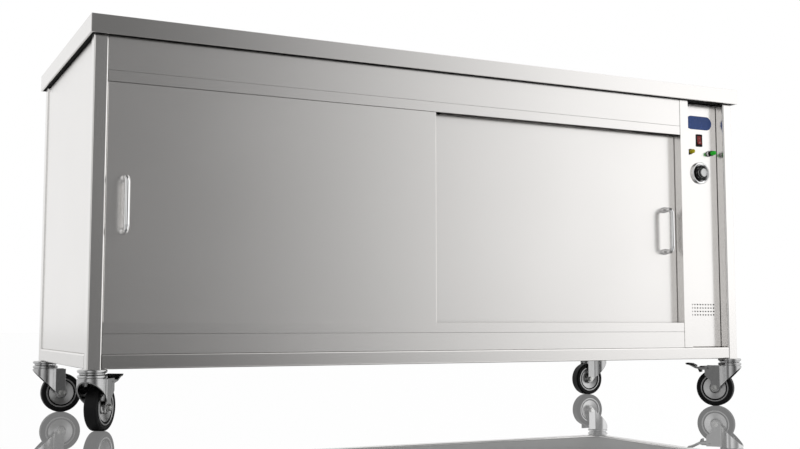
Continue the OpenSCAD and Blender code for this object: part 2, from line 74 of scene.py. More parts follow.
camera_data = bpy.data.cameras.new("studio_camera")
camera_data.lens = CAMERA_LENS
camera_data.sensor_width = 36
camera = bpy.data.objects.new("studio_camera", camera_data)
bpy.context.collection.objects.link(camera)
corner = Vector((worktop_low.x, worktop_low.y, 0))
camera.location = corner + CAMERA_OFFSET + Vector((0, 0, CAMERA_HEIGHT))
camera.rotation_euler = (pi / 2 + CAMERA_TILT, 0, -CAMERA_YAW)
bpy.context.scene.camera = camera
print("camera at", [round(v, 3) for v in camera.location])

# %% [markdown]
# ## Small helpers for modelling
#
# Every piece starts as a primitive or a chain of points, is shaped in edit mode, and is finished
# with modifiers. These helpers do what a hand does between those steps.

# %% Selecting and settling
def let_go():
    """Leave edit mode and deselect every object."""
    if bpy.context.object and bpy.context.object.mode != "OBJECT":
        bpy.ops.object.mode_set(mode="OBJECT")
    bpy.ops.object.select_all(action="DESELECT")


def hold(piece):
    """Make one object the only selected one."""
    let_go()
    piece.select_set(True)
    bpy.context.view_layer.objects.active = piece


def remove(piece):
    """Throw away a piece that is no longer needed."""
    bpy.data.objects.remove(piece)


def settle(piece):
    """Put the piece's place, turn and scale into its mesh."""
    hold(piece)
    bpy.ops.object.transform_apply(location=True, rotation=True, scale=True)
    return piece


def pick(piece, test, kind="FACE"):
    """Enter edit mode with the faces or edges selected that pass a test on their place."""
    hold(piece)
    bpy.ops.object.mode_set(mode="EDIT")
    bpy.ops.mesh.select_mode(type=kind)
    bpy.ops.mesh.select_all(action="DESELECT")
    bpy.ops.object.mode_set(mode="OBJECT")
    mesh = piece.data
    if kind == "FACE":
        for face in mesh.polygons:
            face.select = test(face.center, face.normal)
    else:
        for edge in mesh.edges:
            edge.select = test(*[mesh.vertices[i].co for i in edge.vertices])
    bpy.ops.object.mode_set(mode="EDIT")


def apply_modifier(piece, kind, **settings):
    """Add a modifier with its settings and apply it."""
    hold(piece)
    modifier = piece.modifiers.new(kind.lower(), kind)
    for key, value in settings.items():
        setattr(modifier, key, value)
    bpy.ops.object.modifier_apply(modifier=modifier.name)
    return piece


def cut(piece, tool, operation="DIFFERENCE"):
    """Cut a piece with a tool, or keep only what both share, and throw the tool away."""
    apply_modifier(piece, "BOOLEAN", object=tool, operation=operation, solver="EXACT")
    remove(tool)
    return piece


def round_edges(piece, width, segments=2, angle=40):
    """Bevel every edge sharper than an angle in degrees."""
    return apply_modifier(piece, "BEVEL", width=width, segments=segments, limit_method="ANGLE",
                          angle_limit=radians(angle), use_clamp_overlap=True)


def smooth(piece, angle=32):
    """Shade smooth, keep sharp edges crisp, and let the large flat faces stay flat."""
    hold(piece)
    bpy.ops.object.shade_smooth_by_angle(angle=radians(angle))
    return apply_modifier(piece, "WEIGHTED_NORMAL", mode="FACE_AREA", weight=50, keep_sharp=True)


def bevel_picked(offset, segments):
    """Round the picked edges and leave edit mode."""
    bpy.ops.mesh.bevel(offset=offset, segments=segments, affect="EDGES")
    let_go()


def box_piece(name, low, high):
    """A box primitive between two corners."""
    let_go()
    low, high = Vector(low), Vector(high)
    bpy.ops.mesh.primitive_cube_add(size=1, location=(low + high) / 2)
    piece = bpy.context.object
    piece.name = name
    piece.scale = high - low
    return settle(piece)


def cylinder_piece(name, radius, low, high, sides=48):
    """A cylinder primitive along Z."""
    let_go()
    bpy.ops.mesh.primitive_cylinder_add(vertices=sides, radius=radius, depth=high - low,
                                        location=(0, 0, (low + high) / 2))
    bpy.context.object.name = name
    return settle(bpy.context.object)


ORIGIN = (0, 0, 0)
ONTO_Y = (pi / 2, 0, 0)  # turns what points up so that it points to the front


def put(piece, place=ORIGIN, turn=ORIGIN):
    """Turn a piece about the origin, move it, and settle it."""
    piece.location = place
    piece.rotation_euler = turn
    return settle(piece)


def join(name, *parts):
    """Join several meshes into one piece."""
    hold(parts[0])
    for part in parts:
        part.select_set(True)
    bpy.context.view_layer.objects.active = parts[0]
    bpy.ops.object.join()
    parts[0].name = name
    return parts[0]


def copy_of(piece, name):
    """Copy a piece, with a mesh of its own."""
    twin = bpy.data.objects.new(name, piece.data.copy())
    bpy.context.collection.objects.link(twin)
    return twin


print("helpers ready")

# %% [markdown]
# ## Chains, lathes and outlines
#
# Turned parts such as wheels, rings and knobs are lathe jobs: a profile of a few points is
# extruded vertex by vertex and spun once round. Plates are outlines, filled and extruded. Round
# stretches of a profile come from an arc.

# %% Drawing by extrusion
def mm(*points):
    """Points given in millimetres, in metres."""
    return [tuple(v * MM for v in point) for point in points]


def middle_of(node):
    """The middle of a CAD node's box."""
    low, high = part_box(node)
    return (low + high) / 2


def size_of(node):
    """The size of a CAD node's box."""
    low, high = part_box(node)
    return high - low


def arc(centre, radius, start, end, steps=6):
    """Points on an arc, in degrees."""
    turns = [radians(start + (end - start) * i / steps) for i in range(steps + 1)]
    return [(centre[0] + radius * cos(t), centre[1] + radius * sin(t)) for t in turns]


def mirrored(profile):
    """A closed profile made of one half and its mirror image across the middle plane."""
    return profile + [(r, -z) for r, z in reversed(profile)] + profile[:1]


def select_everything():
    """Select the whole mesh in edit mode."""
    bpy.ops.mesh.select_all(action="SELECT")


def extrude(x, y, z):
    """Extrude what is selected by an offset."""
    bpy.ops.mesh.extrude_region_move(TRANSFORM_OT_translate={"value": (x, y, z)})


def close_skin(weld=False):
    """Weld points that touch, if asked, turn every face outwards, and leave edit mode."""
    select_everything()
    if weld:
        bpy.ops.mesh.remove_doubles(threshold=TOUCH)
    bpy.ops.mesh.normals_make_consistent(inside=False)
    let_go()


def chain(name, points):
    """Draw a line through points by extruding one vertex, and stay in edit mode."""
    let_go()
    points = [Vector(p) for p in points]
    bpy.ops.mesh.primitive_plane_add(size=MM, location=(0, 0, 0))
    piece = bpy.context.object
    piece.name = name
    bpy.ops.object.mode_set(mode="EDIT")
    bpy.ops.mesh.select_mode(type="VERT")
    select_everything()
    bpy.ops.mesh.merge(type="CENTER")
    bpy.ops.transform.translate(value=points[0])
    for here, there in zip(points, points[1:]):
        extrude(*(there - here))
    return piece


def lathe(name, profile, steps=64):
    """Spin a profile of (radius, height) points once round the Z axis."""
    piece = chain(name, [(r, 0, z) for r, z in profile])
    select_everything()
    bpy.ops.mesh.spin(steps=steps, angle=2 * pi, center=(0, 0, 0), axis=(0, 0, 1))
    close_skin(weld=True)
    return smooth(piece)


def plate(name, outline, thickness):
    """Fill an outline of (x, z) points and extrude it evenly to both sides of Y = 0."""
    piece = chain(name, [(x, -thickness / 2, z) for x, z in outline])
    select_everything()
    bpy.ops.mesh.edge_face_add()
    extrude(0, thickness, 0)
    close_skin()
    return piece


print("an arc of 90 degrees:", len(arc((0, 0), 1, 0, 90)), "points")

# %% [markdown]
# ## One way to add a shader node
#
# Each material below is a short list of nodes. One function adds a node, sets it up and links
# what feeds it; another turns a hex colour, as seen on a screen, into the linear light that a
# shader works in. The others are the steps that most materials share: noise of a given size, a
# range that it drives, a mix of two tones and a relief.

# %% Shader helpers
def linear(hex_colour):
    """An sRGB hex colour as linear RGBA."""
    values = [int(hex_colour[i:i + 2], 16) / 255 for i in (1, 3, 5)]
    return [v / 12.92 if v <= 0.04045 else ((v + 0.055) / 1.055) ** 2.4 for v in values] + [1]


def add(tree, kind, feeds=(), **settings):
    """Add a node; feeds maps an input's name or number to a value, a socket or a node."""
    made = tree.nodes.new(kind)
    for key, value in settings.items():
        setattr(made, key, value)
    for key, value in dict(feeds).items():
        if isinstance(value, bpy.types.Node):
            value = value.outputs[0]
        if isinstance(value, bpy.types.NodeSocket):
            tree.links.new(value, made.inputs[key])
        else:
            made.inputs[key].default_value = value
    return made


def new_material(name):
    """An empty material, its node tree and its object coordinates."""
    material = bpy.data.materials.new(name)
    material.use_nodes = True
    material.node_tree.nodes.clear()
    place = add(material.node_tree, "ShaderNodeTexCoord").outputs["Object"]
    return material, material.node_tree, place


NOISE_LOW, NOISE_HIGH = 0.3, 0.7


def noise(tree, place, size_mm, detail):
    """Soft noise with patches of about a size."""
    return add(tree, "ShaderNodeTexNoise", {
        "Vector": place, "Scale": 1 / (size_mm * MM), "Detail": detail})


def swing(tree, value, low, high):
    """Spread the middle of a noise, where nearly all of it lies, over a range."""
    return add(tree, "ShaderNodeMapRange", {
        "Value": value, "From Min": NOISE_LOW, "From Max": NOISE_HIGH, "To Min": low,
        "To Max": high})


def blend(tree, factor, first, second):
    """A mix of two linear colours."""
    return add(tree, "ShaderNodeMix", {"Factor": factor, 6: first, 7: second},
               data_type="RGBA").outputs[2]


def relief(tree, height, depth_mm):
    """A bump with a depth in millimetres."""
    return add(tree, "ShaderNodeBump", {
        "Height": height, "Strength": 1.0, "Distance": depth_mm * MM})


def surface(tree, shader):
    """Link a shader to a new output node."""
    add(tree, "ShaderNodeOutputMaterial", {"Surface": shader})


def metal(tree, tint, rough, **more):
    """A bare metal surface."""
    surface(tree, add(tree, "ShaderNodeBsdfPrincipled", {
        "Base Color": tint, "Metallic": 1.0, "Roughness": rough, **more}))


print("mid grey in linear light:", round(linear("#808080")[0], 3))

# %% [markdown]
# ## Satin stainless steel
#
# An abrasive belt leaves fine scratches in one direction on stainless sheet, so highlights smear
# across it. Real scratches are hundredths of a millimetre wide; here they are about 0.6 mm wide,
# so that they show at arm's length. The grain runs along each piece, so the recipe takes a
# direction.

# %% Satin steel recipe
GRAIN_ACROSS_MM, GRAIN_ALONG_MM = 0.6, 40
CLOUD_MM, CLOUD_SHARE = 260, 0.05
ROUGH_SWING = 0.012
DARK_SHARE = 0.97
GRAIN_DEPTH_MM = 0.001


def satin_steel(name, along, roughness=0.2, tone="#e8e6e4"):
    """Brushed stainless steel with its grain along axis 0, 1 or 2."""
    material, tree, place = new_material(name)
    stretch = [1 / (GRAIN_ACROSS_MM * MM)] * 3
    stretch[along] = 1 / (GRAIN_ALONG_MM * MM)
    grain_place = add(tree, "ShaderNodeMapping", {"Vector": place, "Scale": stretch})
    grain = add(tree, "ShaderNodeTexNoise", {"Vector": grain_place, "Scale": 1.0, "Detail": 2.0})
    rough = add(tree, "ShaderNodeMath", {
        0: noise(tree, place, CLOUD_MM, 1.0), 1: CLOUD_SHARE,
        2: swing(tree, grain, roughness - ROUGH_SWING, roughness + ROUGH_SWING)},
        operation="MULTIPLY_ADD")
    light = linear(tone)
    dark = [DARK_SHARE * v for v in light[:3]] + [1]
    metal(tree, blend(tree, grain, dark, light), rough, Normal=relief(tree, grain, GRAIN_DEPTH_MM))
    return material


steel_across = satin_steel("satin_stainless_horizontal_grain", 0)
steel_deep = satin_steel("satin_stainless_front_to_back_grain", 1)
steel_upright = satin_steel("satin_stainless_vertical_grain", 2, 0.18)
steel_door = satin_steel("soft_satin_stainless_door_sheet", 0, 0.22)
steel_fine = satin_steel("fine_satin_stainless_worktop_sheet", 0, 0.13, "#e2e0de")
print("steels:", steel_across.name, steel_deep.name, steel_upright.name, steel_door.name,
      steel_fine.name)

# %% [markdown]
# ## Other metals
#
# The handles and the dial's ring are polished stainless: the same metal, buffed until it mirrors.
# The castor forks are pressed steel with bright zinc plating, slightly cloudy, with faint spangle.
# The heater tube has been hot, so its steel is brown and grey in soft patches.

# %% Polished, plated and heated metal
def mottled_metal(name, low_tone, high_tone, patch_mm, rough_low, rough_high):
    """Metal whose tone and roughness drift in soft patches."""
    material, tree, place = new_material(name)
    patch = noise(tree, place, patch_mm, 3.0)
    tint = blend(tree, patch, linear(low_tone), linear(high_tone))
    metal(tree, tint, swing(tree, patch, rough_low, rough_high))
    return material


polished_steel = mottled_metal("polished_stainless_bar", "#e2e2e2", "#eeeeee", 30, 0.06, 0.12)
zinc_plate = mottled_metal("bright_zinc_plated_pressing", "#b2b2b2", "#bebebe", 20, 0.13, 0.19)
bolt_zinc = mottled_metal("bright_zinc_bolt", "#c2c2c0", "#d6d6d4", 4, 0.18, 0.3)
wheel_grey = mottled_metal("turned_wheel_centre", "#a9a9a9", "#bdbdbd", 18, 0.26, 0.34)
grip_silver = mottled_metal("anodised_aluminium_grip", "#b4b4b4", "#c4c4c4", 8, 0.24, 0.32)
heated_steel = mottled_metal("heat_browned_tube", "#4a3f3a", "#6b655f", 25, 0.35, 0.5)
print("metals:", polished_steel.name, zinc_plate.name, wheel_grey.name)

# %% [markdown]
# ## Rubber, plastics and board
#
# Moulded parts have a fine even texture left by the spark-eroded tool, about a third of a
# millimetre on nylon. Rubber scatters light more widely than nylon. The lamp lenses and the
# rocker are dyed acrylic with a smooth skin, and the lens of a lit lamp gives off a little light.

# %% Moulded materials
WEAR_MM, WEAR_ROUGHENS, WEAR_PALES, WEAR_LIFTS = 14, 0.08, 1.25, 0.004
COAT_ROUGHNESS = 0.05


def moulded(name, tone, roughness, texture_mm, dent, ior=1.5, shine=0.5, coat=0.0, glow=0.0):
    """Moulded plastic or rubber with a fine tool texture and faint handling marks."""
    material, tree, place = new_material(name)
    texture, wear = noise(tree, place, texture_mm, 2.0), noise(tree, place, WEAR_MM, 3.0)
    base = linear(tone)
    worn = [min(1, WEAR_PALES * v + WEAR_LIFTS) for v in base[:3]] + [1]
    surface(tree, add(tree, "ShaderNodeBsdfPrincipled", {
        "Base Color": blend(tree, wear, base, worn),
        "Roughness": swing(tree, wear, roughness, min(1, roughness + WEAR_ROUGHENS)),
        "IOR": ior, "Normal": relief(tree, texture, dent), "Specular IOR Level": shine,
        "Coat Weight": coat, "Coat Roughness": COAT_ROUGHNESS,
        "Emission Color": base, "Emission Strength": glow}))
    return material


rubber = moulded("solid_black_rubber", "#101011", 0.46, 0.5, 0.02, ior=1.52, shine=0.16)
black_nylon = moulded("moulded_black_nylon", "#111112", 0.34, 0.35, 0.012, ior=1.53, shine=0.14)
# Near black used as painted shade: the ring at the bottom of each wheel's groove and the box behind
# the vents.
painted_shade_black = moulded("black_painted_shade_nylon", "#0e0e0f", 0.5, 0.35, 0.012, ior=1.53, shine=0.1)
white_nylon = moulded("natural_nylon", "#e4e1d6", 0.4, 0.4, 0.01, ior=1.53)
print_white = moulded("white_pad_print", "#b4b4b1", 0.5, 0.2, 0.002)
badge_blue = moulded("blue_domed_resin", "#1b4790", 0.22, 3, 0.004, ior=1.55, shine=0.25, coat=0.1)
rocker_red = moulded("dyed_red_acrylic", "#8e0a07", 0.12, 3, 0.002, ior=1.49, shine=0.3)
lens_amber = moulded("dyed_amber_acrylic", "#c9ba14", 0.12, 3, 0.002, ior=1.49, shine=0.3)
lens_green = moulded("dyed_green_acrylic", "#14a020", 0.12, 3, 0.002, ior=1.49, shine=0.3,
                     glow=0.4)
# Matt grey, darker than the stainless, as painted shade for the underside of the base pan.
underside_shade_grey = moulded("matt_grey_painted_shade", "#949492", 0.55, 0.8, 0.03, shine=0.15)
# Near black, as painted shade for the underside under the worktop's overhang.
underside_shade_board = moulded("near_black_board_painted_shade", "#242423", 0.7, 2.5, 0.1, ior=1.45, shine=0.2)
print("mouldings:", rubber.name, black_nylon.name, lens_green.name)

# %% [markdown]
# ## Finishing a piece
#
# A finished piece has one material, rides on the body it belongs to, and stands for the plain
# part that it improves on.

# %% Hand a piece over
BODY_OF = {node: body for body, nodes in frame["record"]["behaviour"]["bodies"].items()
           for node in nodes}


def finish_piece(piece, material, node, stands_for=True):
    """Give a piece its material and the body of a CAD node, which it may replace."""
    piece.data.materials.clear()
    piece.data.materials.append(material)
    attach(piece, BODY_OF[node])
    if stands_for:
        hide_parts(node)
    return piece


def refined(node, material, bevel=0.0):
    """A merged, flat-cleaned and smoothed copy of a CAD node, with softened edges."""
    piece = bpy.data.objects.new(node + "_skin", bpy.data.objects[node].data.copy())
    bpy.context.collection.objects.link(piece)
    hold(piece)
    bpy.ops.object.mode_set(mode="EDIT")
    select_everything()
    bpy.ops.mesh.remove_doubles(threshold=TOUCH)
    bpy.ops.mesh.dissolve_limited(angle_limit=radians(0.5))
    let_go()
    if bevel:
        round_edges(piece, bevel)
    return finish_piece(smooth(piece), material, node)


# %% [markdown]
# ## Frame tubes
#
# The frame is square tube, cut to length, welded and ground flush. The tubes already have their
# true round corners, so a merged, smoothly shaded copy is enough: the corners then catch the thin
# bright lines that give a tube away. The belt grain runs along each tube.

# %% Posts and rails
CORNERS = ("front_left", "front_right", "rear_left", "rear_right")
for node in ["post_" + corner for corner in CORNERS]:
    refined(node, steel_upright)
for node in ("rail_front", "rail_rear"):
    refined(node, steel_fine)
for node in ("rail_left", "rail_right"):
    refined(node, steel_deep)
print("tubes finished: 8")

# %% [markdown]
# ## Folded trays
#
# Most of the cupboard is folded sheet: a flat face with its four edges turned back, and often a
# short return lip. One helper models them all. It starts from a box of the outer size, opens one
# side, leaves a lip there if one is asked for, rounds every fold, and gives the skin its
# thickness inwards.

# %% Tray helper
FOLD_RADIUS = 2.2 * MM
SHEET = 1.2 * MM
SHEET_EDGE = 0.25 * MM


def tray(name, low, high, opening, thickness=SHEET, lip=0.0, bend=FOLD_RADIUS):
    """A folded tray; opening is the outward direction of its open side."""
    low, high, opening = Vector(low), Vector(high), Vector(opening)
    piece = box_piece(name, low, high)
    rim = max(high.dot(opening), low.dot(opening)) - TOUCH
    pick(piece, lambda centre, normal: normal.dot(opening) > 0.99)
    if lip:
        bpy.ops.mesh.inset(thickness=lip, use_even_offset=True)
    bpy.ops.mesh.delete(type="FACE")

    def at_box_corner(v):
        return all(min(abs(v[i] - low[i]), abs(v[i] - high[i])) < TOUCH for i in range(3))

    def is_fold(a, b):
        below_rim = min(a.dot(opening), b.dot(opening)) < rim
        return at_box_corner(a) and at_box_corner(b) and (lip > 0 or below_rim)

    pick(piece, is_fold, "EDGE")
    bevel_picked(bend, 4)
    apply_modifier(piece, "SOLIDIFY", thickness=thickness, offset=-1, use_even_offset=True)
    return smooth(round_edges(piece, SHEET_EDGE, angle=60))


print("tray helper ready, fold radius", FOLD_RADIUS / MM, "mm")

# %% [markdown]
# ## Worktop and its core
#
# The working surface is one sheet with its edges folded down about 40 mm and hemmed under by
# 4 mm, so no raw edge is left where hands and cloths go. A board glued underneath keeps it from
# drumming; its near-black colour is painted shade for the underside under the overhang. The
# corners are welded, ground and rubbed down, so they are round like the folds.

# %% Worktop
worktop = tray("worktop_sheet", worktop_low, worktop_high, (0, 0, -1), 1.5 * MM, lip=4 * MM,
               bend=1.5 * MM)
finish_piece(worktop, steel_fine, "worktop")
# The board's near-black colour is painted shade under the worktop's overhang.
refined("worktop_core", underside_shade_board, 0.5 * MM)
print("worktop", [round(v / MM) for v in worktop_high - worktop_low], "mm")

# %% [markdown]
# ## Side, back and bottom panels
#
# These are plain trays set between the tubes, with their open side inwards. The grain runs front
# to back on the sides and along the length on the back. The back panel also has the round hole
# for the cable gland, cut through it with a boolean. The left side carries an angle that the
# shelf rests on: a strip is cut across near its top with bisect, and the part above is drawn out.
# The pan under the cupboard is a matt grey, darker than the stainless: painted shade for its
# underside, which faces the floor.

# %% Panels
panel = tray("side_panel_right_sheet", *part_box("side_panel_right"), (-1, 0, 0))
finish_piece(panel, steel_deep, "side_panel_right")

left_low, left_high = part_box("side_panel_left")
inner_face = left_low.x + size_of("side_panel_right").x
panel = tray("side_panel_left_sheet", left_low, (inner_face, left_high.y, left_high.z), (1, 0, 0))
LEDGE_TOP, LEDGE_DROP, LEDGE_FRONT, LEDGE_BACK = 454.9 * MM, 15 * MM, -226.5 * MM, 259.75 * MM
LEDGE_BEHIND, LEDGE_FACE = left_low.x + 2 * MM, left_low.x + 4 * MM
ledge = box_piece("ledge", (LEDGE_BEHIND, LEDGE_FRONT, LEDGE_TOP - LEDGE_DROP),
                  (LEDGE_FACE, LEDGE_BACK, LEDGE_TOP))
hold(ledge)
bpy.ops.object.mode_set(mode="EDIT")
select_everything()
bpy.ops.mesh.bisect(plane_co=(0, 0, LEDGE_TOP - SHEET), plane_no=(0, 0, 1))
pick(ledge, lambda centre, normal: normal.x > 0.99 and centre.z > LEDGE_TOP - SHEET)
extrude(left_high.x - LEDGE_FACE, 0, 0)
let_go()
panel = join("side_panel_left_sheet", panel, smooth(round_edges(ledge, SHEET_EDGE)))
finish_piece(panel, steel_deep, "side_panel_left")

back_low, back_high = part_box("back_panel")
back = tray("back_panel_sheet", back_low, back_high, (0, -1, 0))
gland_middle = middle_of("cable_gland")
GLAND_HOLE_RADIUS = 10 * MM
drill = cylinder_piece("gland_drill", GLAND_HOLE_RADIUS, -20 * MM, 20 * MM)
put(drill, (gland_middle.x, back_high.y, gland_middle.z), ONTO_Y)
finish_piece(smooth(cut(back, drill)), steel_across, "back_panel")

# The pan's matt grey is painted shade for its underside.
bottom = tray("base_pan_sheet", *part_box("base_pan"), (0, 0, 1))
finish_piece(bottom, underside_shade_grey, "base_pan")
shelf = tray("shelf_sheet", *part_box("shelf"), (0, 0, -1))
finish_piece(shelf, steel_across, "shelf")
print("panels finished: 5")

# %% [markdown]
# ## Rivets on the back
#
# The back panel is held by blind rivets along its edges. Each has a low domed head with a small
# dimple where its pin broke off. One is turned on a lathe profile, and the rest are copies.

# %% Rivets
rivet_profile = mm((0, -0.5), (3.1, -0.5), (3.2, 0.2)) + arc((0, -3.1 * MM), 4.6 * MM, 46, 76, 6)
rivet_profile += mm((0.9, 0.9), (0, 0.9))
rivet = put(lathe("rivet", rivet_profile, 24), turn=(-pi / 2, 0, 0))
EDGE_GAP, RIVETS_LONG, RIVETS_HIGH = 14 * MM, 9, 4
first_x, first_z = back_low.x + EDGE_GAP, back_low.z + EDGE_GAP
width, height = back_high.x - EDGE_GAP - first_x, back_high.z - EDGE_GAP - first_z
places = [(i / (RIVETS_LONG - 1), j) for i in range(RIVETS_LONG) for j in (0, 1)]
places += [(i, j / (RIVETS_HIGH - 1)) for i in (0, 1) for j in range(1, RIVETS_HIGH - 1)]
rivets = [put(copy_of(rivet, "rivet"), (first_x + u * width, back_high.y, first_z + v * height))
          for u, v in places]
remove(rivet)
finish_piece(join("back_panel_rivets", *rivets), bolt_zinc, "back_panel", stands_for=False)
print("rivets:", len(places))

# %% [markdown]
# ## Fascia, tracks, stile and inner sheets
#
# The header fascia, the two door tracks, the apron and the stile are long folded strips of a
# constant section. Their sections are already right, so each is a merged copy with its sheet
# edges softened by a quarter of a millimetre, as deburring leaves them. The fascia and the upper
# track, which show their edges most, get half a millimetre.

# %% Folded strips
for node in ("header_fascia", "upper_track"):
    refined(node, steel_across, 0.5 * MM)
for node in ("lower_track", "lower_apron", "floor_panel"):
    refined(node, steel_across, SHEET_EDGE)
for node in ("control_stile", "bay_divider"):
    refined(node, steel_upright, SHEET_EDGE)
print("strips finished: 7")

# %% [markdown]
# ## Sliding doors
#
# Each door is a tray with a return lip, open at the back. Two hanger plates stand up from its top
# into the upper track, and a pin on each carries a nylon roller. The doors overlap in the middle:
# the left one runs in the front of the track, the right one behind it.

# %% Doors with their hangers
HANGER_WIDTH, HANGER_SHEET, HANGER_CORNER = 40 * MM, 2 * MM, 8 * MM
PIN_RADIUS, PIN_END = 2.5 * MM, 0.2 * MM
TRAY_UNDER_PIN, TRAY_DEPTH, TRAY_LIP = 38.3 * MM, 20 * MM, 14 * MM
PLATE_BEFORE_ROLLER, PLATE_BEHIND_ROLLER = 3.2 * MM, 1.2 * MM


def door(node, rollers):
    """A door tray with a hanger plate and a pin at each of its rollers."""
    low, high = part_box(node)
    tray_top = middle_of(rollers[0]).z - TRAY_UNDER_PIN
    parts = [tray(node + "_pan", low, (high.x, low.y + TRAY_DEPTH, tray_top), (0, 1, 0),
                  lip=TRAY_LIP)]
    roller_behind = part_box(rollers[0])[0].y > low.y + TRAY_DEPTH / 2
    for roller in rollers:
        roller_low, roller_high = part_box(roller)
        middle = middle_of(roller)
        plate_y = (roller_low.y - PLATE_BEFORE_ROLLER if roller_behind
                   else roller_high.y + PLATE_BEHIND_ROLLER)
        hanger = box_piece("hanger", (middle.x - HANGER_WIDTH / 2, plate_y, tray_top - MM),
                           (middle.x + HANGER_WIDTH / 2, plate_y + HANGER_SHEET, high.z))
        pick(hanger, lambda a, b: min(a.z, b.z) > tray_top + MM and abs(a.x - b.x) < MM, "EDGE")
        bevel_picked(HANGER_CORNER, 6)
        pin_low = min(plate_y, roller_low.y - PIN_END)
        pin_high = max(plate_y + HANGER_SHEET, roller_high.y + PIN_END)
        half = (pin_high - pin_low) / 2
        pin = put(cylinder_piece("pin", PIN_RADIUS, -half, half, 24),
                  (middle.x, pin_low + half, middle.z), ONTO_Y)
        round_edges(pin, 0.4 * MM)
        parts += [round_edges(hanger, 0.3 * MM), pin]
    return finish_piece(smooth(join(node + "_pan", *parts)), steel_door, node)


door("door_left", ("roller_left_a", "roller_left_b"))
door("door_right", ("roller_right_a", "roller_right_b"))
print("door width", round(size_of("door_left").x / MM), "mm")

# %% [markdown]
# ## Door rollers
#
# A roller is a small nylon wheel with a chamfered tread, a thinner web and a raised boss round
# its bore. It is a lathe job: one profile, spun about the pin, then copied to each hanger.

# %% Rollers
radius, half = size_of("roller_left_a").x / 2, size_of("roller_left_a").y / 2
BORE = PIN_RADIUS + 0.05 * MM
web = half - MM
roller_profile = mirrored([
    (BORE, -half), (BORE + 2 * MM, -half), (BORE + 2.4 * MM, -web), (radius - 3 * MM, -web),
    (radius - 2.6 * MM, -half), (radius - 0.8 * MM, -half), (radius, -half + 0.8 * MM)])
roller = put(lathe("roller", roller_profile, 48), turn=ONTO_Y)
for node in ("roller_left_a", "roller_left_b", "roller_right_a", "roller_right_b"):
    finish_piece(put(copy_of(roller, node + "_wheel"), middle_of(node)), white_nylon, node)
remove(roller)
print("roller diameter", round(2 * radius / MM, 1), "mm")

# %% [markdown]
# ## Door handles
#
# Each handle is one length of round bar, bent twice and polished. A disc is drawn out of the
# door, spun through a quarter turn, drawn down, spun again and drawn back to the door. Each arm
# swells into a small foot where it meets the door, which is a lathe profile.

# %% Bent-bar handles
def bent_bar(name, radius, reach, height, bend):
    """A D handle that stands on the plane Y = 0 and is centred on Z = 0."""
    let_go()
    top = height / 2 - radius
    bpy.ops.mesh.primitive_circle_add(vertices=32, radius=radius, fill_type="NGON",
                                      location=(0, 0, top), rotation=ONTO_Y)
    piece = bpy.context.object
    piece.name = name
    settle(piece)
    bpy.ops.object.mode_set(mode="EDIT")
    select_everything()
    straight = reach - radius - bend
    extrude(0, -straight, 0)
    for end in (1, -1):
        bpy.ops.mesh.spin(steps=10, angle=-pi / 2, center=(0, -straight, end * (top - bend)),
                          axis=(1, 0, 0))
        if end == 1:
            extrude(0, 0, -2 * (top - bend))
    extrude(0, straight, 0)
    close_skin(weld=True)
    return smooth(piece)


HANDLE_BEND = 14 * MM
handle_size = size_of("handle_left")
BAR_RADIUS = handle_size.x / 2
bar = bent_bar("bar", BAR_RADIUS, handle_size.y, handle_size.z, HANDLE_BEND)
foot_profile = mm((0, 0), (8, 0), (8.3, 0.8), (8.1, 4), (7.4, 8), (6.6, 12), (6.1, 15), (5.8, 16),
                  (0, 16))
foot_height = handle_size.z / 2 - BAR_RADIUS
feet = [put(lathe("foot", foot_profile), (0, 0, z), ONTO_Y) for z in (foot_height, -foot_height)]
bar = join("bar", bar, *feet)
for node in ("handle_left", "handle_right"):
    middle = middle_of(node)
    handle = put(copy_of(bar, node + "_bar"), (middle.x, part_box(node)[1].y, middle.z))
    finish_piece(handle, polished_steel, node)
remove(bar)
print("handle", [round(v / MM) for v in handle_size], "mm")

# %% [markdown]
# ## Where the castors stand
#
# The four castors are the same part, standing at four corners and turned four ways. Each piece is
# therefore modelled once, with the swivel axis upright through the origin and the wheel trailing
# along X. Then it is copied to each corner and turned, as the joints of the frame say.

# %% Castor places
JOINTS = {joint["name"]: joint for joint in frame["record"]["behaviour"]["joints"]}
BRAKED = CORNERS[:2]
SWIVEL = {corner: Vector(JOINTS["swivel_" + corner]["pos_m"]) for corner in CORNERS}
AXLE = {corner: Vector(JOINTS["wheel_" + corner + "_spin"]["pos_m"]) for corner in CORNERS}
TRAIL = (AXLE["rear_left"] - SWIVEL["rear_left"]).xy.length
WHEEL_RADIUS = AXLE["rear_left"].z


def at_corner(piece, name, corner):
    """A copy of a castor piece, at a corner and turned to its heading."""
    way = AXLE[corner] - SWIVEL[corner]
    place = (SWIVEL[corner].x, SWIVEL[corner].y, 0)
    return put(copy_of(piece, name + "_" + corner), place, (0, 0, atan2(way.y, way.x)))


def to_corners(piece, material, node, corners=CORNERS, stands_for=True):
    """Copy a castor piece to corners, where it stands for a node or is an extra part of it."""
    name = piece.name
    for corner in corners:
        finish_piece(at_corner(piece, name, corner), material, node + "_" + corner, stands_for)
    remove(piece)


print("trail", round(TRAIL / MM, 1), "mm, wheel radius", round(WHEEL_RADIUS / MM, 1), "mm")

# %% [markdown]
# ## Swivel heads
#
# A head is pressed from sheet: a cup that holds the ball race, with a rolled bead round it, and a
# stem that goes up into the post. It stays with the cupboard while the fork turns on its kingpin.

# %% Beaded heads
BEAD_CENTRE, BEAD_RADIUS = 27.9 * MM, 3.6 * MM
head_profile = mm((0, 102), (8, 102), (9, 103), (9, 107.4), (6, 107.4), (6, 121), (26.6, 121),
                  (27.2, 121.6), (27.2, 124))
head_profile += arc((BEAD_CENTRE, 128.3 * MM), BEAD_RADIUS, -85, 90, 12)
head_profile += mm((24, 132), (11, 132), (11, 156), (10, 157), (0, 157))
head = lathe("head", head_profile)
heads = join("castor_heads_beaded", *[at_corner(head, "head", corner) for corner in CORNERS])
finish_piece(heads, zinc_plate, "castor_heads")
remove(head)
print("heads:", len(CORNERS), "with", len(heads.data.polygons), "faces")

